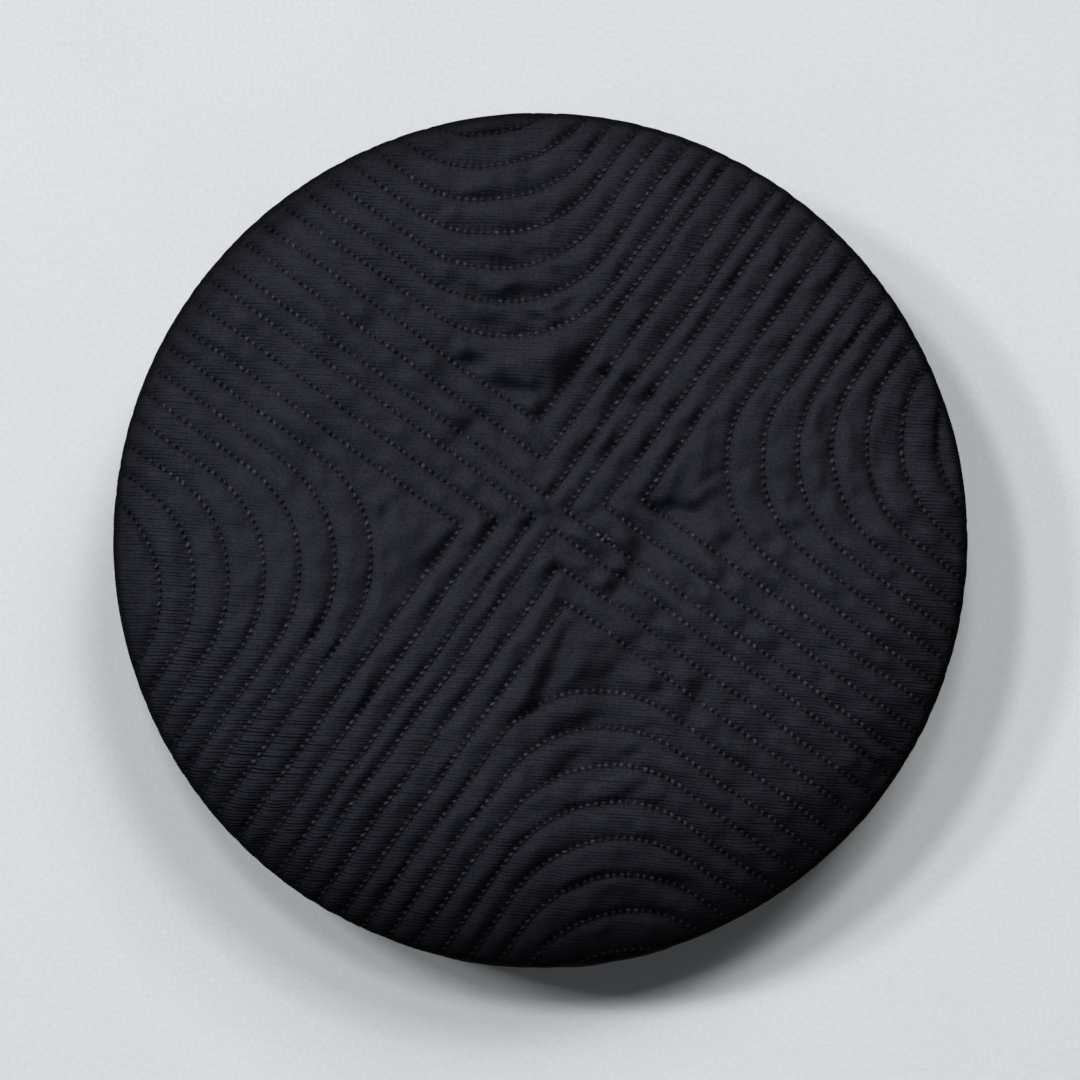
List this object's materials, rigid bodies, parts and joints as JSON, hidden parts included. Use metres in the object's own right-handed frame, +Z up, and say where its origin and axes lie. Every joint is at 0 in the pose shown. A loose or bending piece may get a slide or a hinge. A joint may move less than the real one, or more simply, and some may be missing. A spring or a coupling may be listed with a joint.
{
  "type": "quilted prayer cap",
  "caption": "Round, flat-topped prayer cap of padded dark cloth, its crown quilted in nested curves round a cross and its upright band in level rows above a folded hem.",
  "frame": {"origin": "middle of the ring of the hem on the surface that the cap stands on", "axes": "+Z up through the middle of the crown; +Y towards the top of the picture; +X to its right"},
  "size_m": [0.182, 0.1816, 0.082],
  "materials": {
    "crown_cloth": "matte, finely ribbed near-black navy charcoal cotton, quilted over thin padding",
    "band_cloth": "the crown's matte, finely ribbed near-black cotton, quilted in level rows"
  },
  "bodies": {
    "root": {"crown": "crown_cloth", "band": "band_cloth"}
  },
  "joints": []
}
